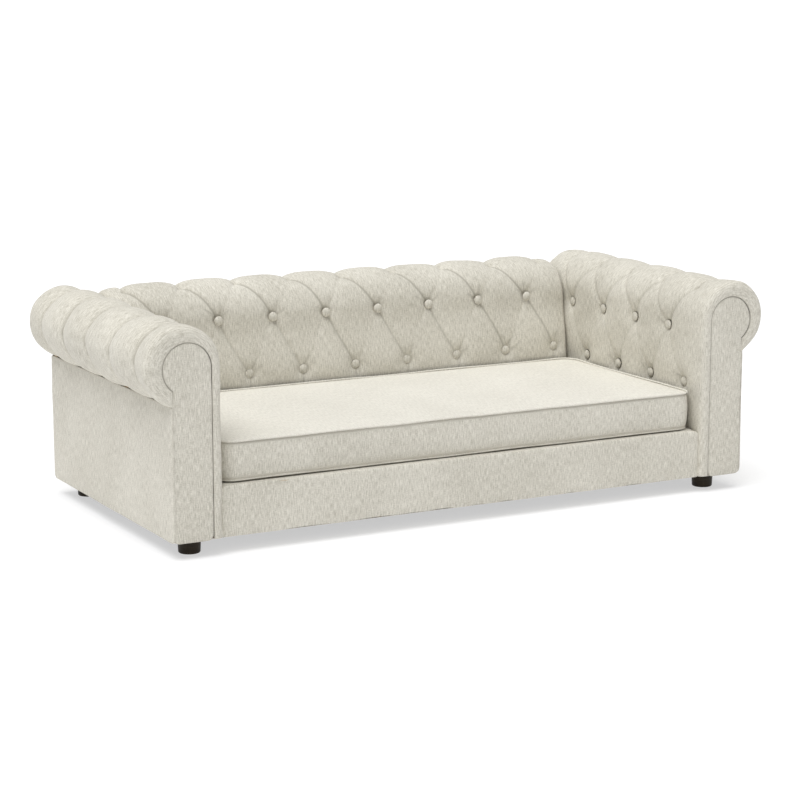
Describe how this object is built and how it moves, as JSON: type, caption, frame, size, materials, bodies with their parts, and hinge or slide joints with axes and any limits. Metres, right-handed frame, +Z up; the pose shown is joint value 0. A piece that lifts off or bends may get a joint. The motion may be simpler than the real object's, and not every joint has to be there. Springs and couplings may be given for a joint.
{
  "type": "dog sofa bed",
  "caption": "Low upholstered dog sofa with rolled, button-tufted arms and back, a loose zipped boxed cushion and short round feet.",
  "frame": {"origin": "on the floor, under the middle of the footprint", "axes": "+X along the width to the right seen from the front, +Y to the back, +Z up"},
  "size_m": [1.22, 0.61, 0.388],
  "materials": {
    "upholstery": "woven cream tweed over foam",
    "covered_button": "the same tweed over a button blank",
    "cushion_fabric": "woven cream tweed",
    "foam": "cut foam block",
    "frame_board": "raw plywood and pine",
    "hardboard": "thin hardboard",
    "dust_cloth": "black non-woven cloth",
    "twine": "waxed twine",
    "steel": "zinc plated",
    "foot_wood": "espresso stain, satin lacquer",
    "zip_tape": "nylon tape and coil",
    "zip_metal": "nickel plated"
  },
  "bodies": {
    "frame": {"arm_bolts": "steel", "arm_button_ties": "twine", "back_button_ties": "twine", "back_buttons": "covered_button", "back_inner_panel": "hardboard", "back_outside_panel": "upholstery", "back_pad": "upholstery", "back_ribs": "frame_board", "back_roll_board": "hardboard", "corner_blocks": "frame_board", "cross_bearers": "frame_board", "deck_cloth": "dust_cloth", "dust_cover": "dust_cloth", "foot_bolts": "steel", "frame_screws": "steel", "front_left_foot": "foot_wood", "front_rail": "frame_board", "front_rail_cover": "upholstery", "front_right_foot": "foot_wood", "left_arm_base_board": "frame_board", "left_arm_buttons": "covered_button", "left_arm_facing": "upholstery", "left_arm_front_board": "frame_board", "left_arm_inner_panel": "hardboard", "left_arm_mid_ribs": "frame_board", "left_arm_outside_panel": "upholstery", "left_arm_pad": "upholstery", "left_arm_rear_board": "frame_board", "left_arm_rear_facing": "upholstery", "left_arm_roll_board": "hardboard", "left_side_rail": "frame_board", "rear_left_foot": "foot_wood", "rear_rail": "frame_board", "rear_right_foot": "foot_wood", "right_arm_base_board": "frame_board", "right_arm_buttons": "covered_button", "right_arm_facing": "upholstery", "right_arm_front_board": "frame_board", "right_arm_inner_panel": "hardboard", "right_arm_mid_ribs": "frame_board", "right_arm_outside_panel": "upholstery", "right_arm_pad": "upholstery", "right_arm_rear_board": "frame_board", "right_arm_rear_facing": "upholstery", "right_arm_roll_board": "hardboard", "right_side_rail": "frame_board", "seat_deck": "frame_board", "tee_nuts": "steel"},
    "seat_cushion": {"cushion_cover": "cushion_fabric", "cushion_core": "foam", "top_welt": "cushion_fabric", "bottom_welt": "cushion_fabric", "zip_tape": "zip_tape", "zip_coil": "zip_tape"},
    "zip_slider": {"zip_slider": "zip_metal"},
    "zip_pull": {"zip_pull": "zip_metal"}
  },
  "joints": [
    {"name": "cushion_lift", "type": "slide", "parent": "frame", "child": "seat_cushion", "axis": [0, 0, 1], "range_m": [0, 0.32]},
    {"name": "zip_slide", "type": "slide", "parent": "seat_cushion", "child": "zip_slider", "axis": [1, 0, 0], "range_m": [-0.476, 0]},
    {"name": "zip_pull_hinge", "type": "hinge", "parent": "zip_slider", "child": "zip_pull", "pos_m": [0.238, 0.1389, 0.15181], "axis": [0, 0, -1], "range_deg": [0, 180]}
  ]
}
